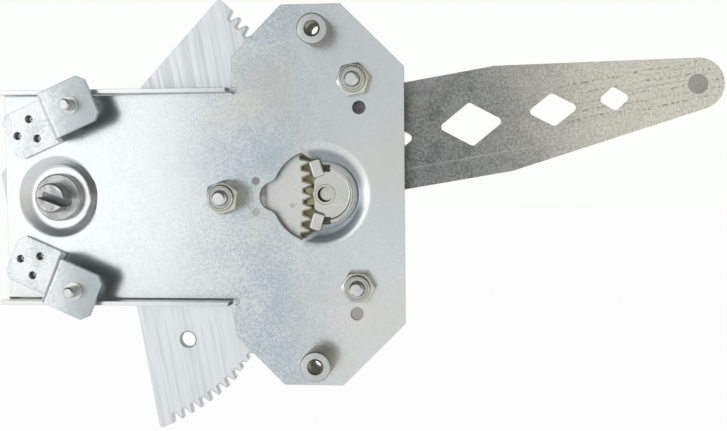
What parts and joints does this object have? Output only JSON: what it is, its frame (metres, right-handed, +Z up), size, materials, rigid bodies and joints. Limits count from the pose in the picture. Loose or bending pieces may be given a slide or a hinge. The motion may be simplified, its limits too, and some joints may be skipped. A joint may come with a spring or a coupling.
{
  "type": "window regulator",
  "caption": "Single-arm window regulator for a car door: zinc-plated base plate, toothed sector and lift arm on one pivot, pinion in a pressed cup, drive studs and mounting bosses.",
  "frame": {"origin": "on the pivot axis of the arm and sector, at the foot of the spring arbor (front face of the retaining collar)", "axes": "+Z up in the door, +X from the pivot towards the roller end of the lift arm, -Y towards the side where the studs, bosses and arbor stand"},
  "size_m": [0.3186, 0.0471, 0.1899],
  "materials": {
    "zinc_sheet": "bright zinc plate, speckled",
    "zinc_turned": "turned steel, zinc plated",
    "zinc_fastener": "cold-formed fastener, zinc plated",
    "sector_steel": "rolled sheet with fine streaks",
    "arm_steel": "rolled sheet, mottled",
    "gear_steel": "cold-formed gear",
    "bush_bronze": "sintered bronze",
    "nylon_natural": "natural nylon",
    "nylon_insert": "nylon insert",
    "roller_plastic": "black acetal"
  },
  "bodies": {
    "base": {"base_plate": "zinc_sheet", "upper_bracket": "zinc_sheet", "lower_bracket": "zinc_sheet", "pinion_cup": "zinc_sheet", "upper_bracket_pin": "zinc_turned", "lower_bracket_pin": "zinc_turned", "upper_mount_boss": "zinc_turned", "lower_mount_boss": "zinc_turned", "upper_drive_stud": "zinc_fastener", "lower_drive_stud": "zinc_fastener", "centre_drive_stud": "zinc_fastener", "upper_lock_nut": "zinc_fastener", "lower_lock_nut": "zinc_fastener", "centre_lock_nut": "zinc_fastener", "centre_spacer": "zinc_fastener", "lock_nut_inserts": "nylon_insert", "pivot_bush": "bush_bronze", "sector_guide_pad": "nylon_natural"},
    "arm": {"lift_arm": "arm_steel", "sector_gear": "sector_steel", "arm_rivets": "zinc_turned", "pivot_shaft": "zinc_turned", "retaining_collar": "zinc_turned", "roller_stud": "zinc_turned"},
    "pinion": {"pinion": "gear_steel"},
    "roller": {"roller": "roller_plastic"}
  },
  "joints": [
    {"name": "lift_arm_pivot", "type": "hinge", "parent": "base", "child": "arm", "pos_m": [0, 0, 0], "axis": [0, -1, 0], "range_deg": [-41, 58]},
    {"name": "pinion_spin", "type": "hinge", "parent": "base", "child": "pinion", "pos_m": [0.11935, 0, 0.0007], "axis": [0, -1, 0], "range_deg": [-903, 639]},
    {"name": "roller_spin", "type": "hinge", "parent": "arm", "child": "roller", "pos_m": [0.27764, 0, 0.04646], "axis": [0, -1, 0], "continuous": true}
  ],
  "couplings": [
    {"joint": "pinion_spin", "follows": "lift_arm_pivot", "ratio": -15.556}
  ]
}
